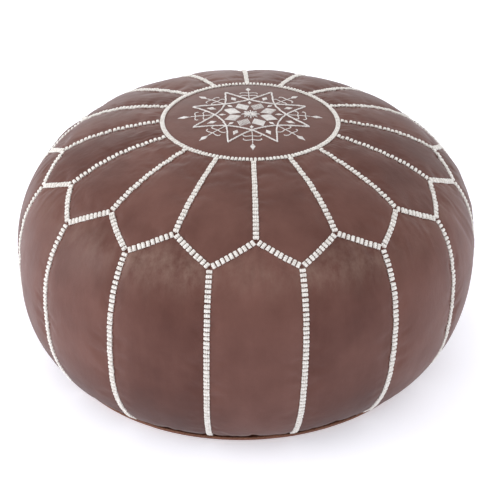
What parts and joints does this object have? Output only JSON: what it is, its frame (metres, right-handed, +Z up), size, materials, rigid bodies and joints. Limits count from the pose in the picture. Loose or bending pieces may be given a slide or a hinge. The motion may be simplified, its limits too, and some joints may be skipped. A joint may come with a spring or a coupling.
{
  "type": "leather pouf",
  "caption": "Round stuffed leather floor pouf with pale stitched petal seams, an embroidered medallion on top and a zipped base.",
  "frame": {"origin": "centre of the pouf on the floor it stands on", "axes": "+Z up along the pouf's axis, -Y to the front, +X along the zip underneath, towards its closed end"},
  "size_m": [0.55, 0.55, 0.3008],
  "materials": {
    "dyed_leather": "satin",
    "base_leather": "matte",
    "seam_thread": "matte",
    "tan_thread": "matte",
    "zip_tape": "matte",
    "zip_coil": "satin",
    "zip_metal": "satin",
    "liner_cotton": "matte",
    "stuffing": "matte"
  },
  "bodies": {
    "pouf": {"base_join_stitching": "tan_thread", "base_panel_back": "base_leather", "base_panel_front": "base_leather", "base_seam_thread": "tan_thread", "liner_bag": "liner_cotton", "medallion": "dyed_leather", "medallion_embroidery": "seam_thread", "ring_stitching": "seam_thread", "side_panel_01": "dyed_leather", "side_panel_02": "dyed_leather", "side_panel_03": "dyed_leather", "side_panel_04": "dyed_leather", "side_panel_05": "dyed_leather", "side_panel_06": "dyed_leather", "side_panel_07": "dyed_leather", "side_panel_08": "dyed_leather", "side_panel_09": "dyed_leather", "side_panel_10": "dyed_leather", "side_panel_11": "dyed_leather", "side_panel_12": "dyed_leather", "side_panel_13": "dyed_leather", "side_panel_14": "dyed_leather", "side_panel_15": "dyed_leather", "side_panel_16": "dyed_leather", "side_seam_stitching": "seam_thread", "stuffing": "stuffing", "upper_panel_01": "dyed_leather", "upper_panel_02": "dyed_leather", "upper_panel_03": "dyed_leather", "upper_panel_04": "dyed_leather", "upper_panel_05": "dyed_leather", "upper_panel_06": "dyed_leather", "upper_panel_07": "dyed_leather", "upper_panel_08": "dyed_leather", "upper_panel_09": "dyed_leather", "upper_panel_10": "dyed_leather", "upper_panel_11": "dyed_leather", "upper_panel_12": "dyed_leather", "upper_panel_13": "dyed_leather", "upper_panel_14": "dyed_leather", "upper_panel_15": "dyed_leather", "upper_panel_16": "dyed_leather", "upper_seam_stitching": "seam_thread", "zigzag_stitching": "seam_thread", "zip_bottom_stop": "zip_metal", "zip_coil_back": "zip_coil", "zip_coil_front": "zip_coil", "zip_stitching": "tan_thread", "zip_tape_back": "zip_tape", "zip_tape_front": "zip_tape", "zip_top_stops": "zip_metal"},
    "slider": {"zip_slider": "zip_metal"},
    "pull": {"zip_pull": "zip_metal"}
  },
  "joints": [
    {"name": "zip_slide", "type": "slide", "parent": "pouf", "child": "slider", "axis": [-1, 0, 0], "range_m": [0, 0.29]},
    {"name": "pull_swing", "type": "hinge", "parent": "slider", "child": "pull", "pos_m": [0.14513, 0, 0.0063], "axis": [0, 1, 0], "range_deg": [-10, 166]}
  ]
}
